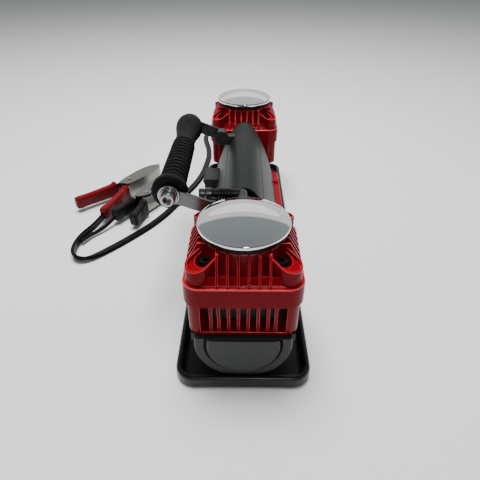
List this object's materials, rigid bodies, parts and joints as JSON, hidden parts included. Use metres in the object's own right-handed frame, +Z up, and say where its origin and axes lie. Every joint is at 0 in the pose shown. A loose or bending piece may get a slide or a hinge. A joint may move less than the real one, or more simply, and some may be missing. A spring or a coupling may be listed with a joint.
{
  "type": "twin-cylinder portable air compressor",
  "caption": "Portable 12 V tyre compressor: finned twin cylinder heads either side of an arched motor cover on a tray, with a folding carry handle and battery clamps.",
  "frame": {"origin": "centre of the tray's flat underside, midway between the two heads", "axes": "+Z up; +Y along the machine from the front head to the rear head, its longest side; +X away from the carrying handle"},
  "size_m": [0.2449, 0.618, 0.1203],
  "materials": {
    "black_gloss": "glossy moulded black",
    "red_enamel": "glossy metallic red enamel on die casting",
    "cover_black": "satin black paint",
    "collar_black": "satin black moulding",
    "case_grey": "dark grey satin paint",
    "chrome": "polished chrome",
    "rubber_black": "fine matte rubber",
    "zinc_steel": "zinc plated",
    "bright_steel": "ground steel",
    "bracket_steel": "dark grey plated strip",
    "clamp_steel": "nickel plated pressing",
    "cast_alloy": "as cast",
    "lamination": "stacked laminations",
    "ferrite": "matte ferrite and carbon",
    "copper_pipe": "copper",
    "cable_black": "smooth flexible insulation",
    "red_plastic": "soft red insulation",
    "black_plastic": "soft black insulation"
  },
  "bodies": {
    "chassis": {"base_tray": "black_gloss", "black_clamp_base": "clamp_steel", "black_clamp_lead": "cable_black", "black_sleeve_base": "black_plastic", "cable_gland": "rubber_black", "cap_seals": "rubber_black", "carbon_brushes": "ferrite", "chrome_caps": "chrome", "clamp_pins": "bright_steel", "clamp_springs": "bright_steel", "cover_end_front": "collar_black", "cover_end_rear": "collar_black", "crankcase_covers": "case_grey", "crankcase_front": "case_grey", "crankcase_rear": "case_grey", "cylinder_front": "case_grey", "cylinder_rear": "case_grey", "delivery_pipe": "copper_pipe", "handle_lug_rear": "collar_black", "handle_pivot_pins": "zinc_steel", "head_front": "red_enamel", "head_gaskets": "ferrite", "head_rear": "red_enamel", "head_screws": "zinc_steel", "ledge_screws": "zinc_steel", "motor_can": "zinc_steel", "motor_cover": "cover_black", "motor_cradle": "red_enamel", "motor_end_bells": "cast_alloy", "motor_magnets": "ferrite", "outlet_coupler": "bright_steel", "outlet_elbow": "collar_black", "power_cable_feed": "cable_black", "power_cable_hank": "cable_black", "power_cable_lead": "cable_black", "red_clamp_base": "clamp_steel", "red_sleeve_base": "red_plastic", "shaft_bearings": "bright_steel", "shroud_front": "red_enamel", "shroud_rear": "red_enamel", "switch_housing": "collar_black", "tray_screws": "zinc_steel", "valve_plates": "bright_steel"},
    "handle": {"handle_bracket_front": "bracket_steel", "handle_bracket_rear": "bracket_steel", "handle_tube": "zinc_steel", "handle_grip": "rubber_black", "handle_bolts": "chrome"},
    "rotor": {"motor_shaft": "bright_steel", "armature_core": "lamination", "armature_windings": "copper_pipe", "commutator": "copper_pipe", "crank_discs": "cast_alloy"},
    "piston_front": {"piston_front": "cast_alloy"},
    "piston_rear": {"piston_rear": "cast_alloy"},
    "rocker": {"switch_rocker": "collar_black"},
    "red_lever": {"red_clamp_lever": "clamp_steel", "red_sleeve_lever": "red_plastic"},
    "black_lever": {"black_clamp_lever": "clamp_steel", "black_sleeve_lever": "black_plastic"}
  },
  "joints": [
    {"name": "handle_fold", "type": "hinge", "parent": "chassis", "child": "handle", "pos_m": [-0.023, -0.017, 0.0955], "axis": [0, 1, 0], "range_deg": [0, 70]},
    {"name": "rotor_spin", "type": "hinge", "parent": "chassis", "child": "rotor", "pos_m": [0, 0, 0.0385], "axis": [0, 1, 0], "continuous": true},
    {"name": "piston_front_slide", "type": "slide", "parent": "chassis", "child": "piston_front", "axis": [0, 0, 1], "range_m": [-0.006, 0.006]},
    {"name": "piston_rear_slide", "type": "slide", "parent": "chassis", "child": "piston_rear", "axis": [0, 0, 1], "range_m": [-0.006, 0.006]},
    {"name": "switch_rock", "type": "hinge", "parent": "chassis", "child": "rocker", "pos_m": [-0.035, 0.03, 0.056], "axis": [0, 1, 0], "range_deg": [0, 18]},
    {"name": "red_clamp_open", "type": "hinge", "parent": "chassis", "child": "red_lever", "pos_m": [-0.14, 0.104, 0.0108], "axis": [0, 0, 1], "range_deg": [0, 16], "stiffness_Nm_per_rad": 0.6, "springref_deg": -20.05},
    {"name": "black_clamp_open", "type": "hinge", "parent": "chassis", "child": "black_lever", "pos_m": [-0.113, 0.07, 0.0108], "axis": [0, 0, -1], "range_deg": [0, 12], "stiffness_Nm_per_rad": 0.6, "springref_deg": -20.05}
  ]
}
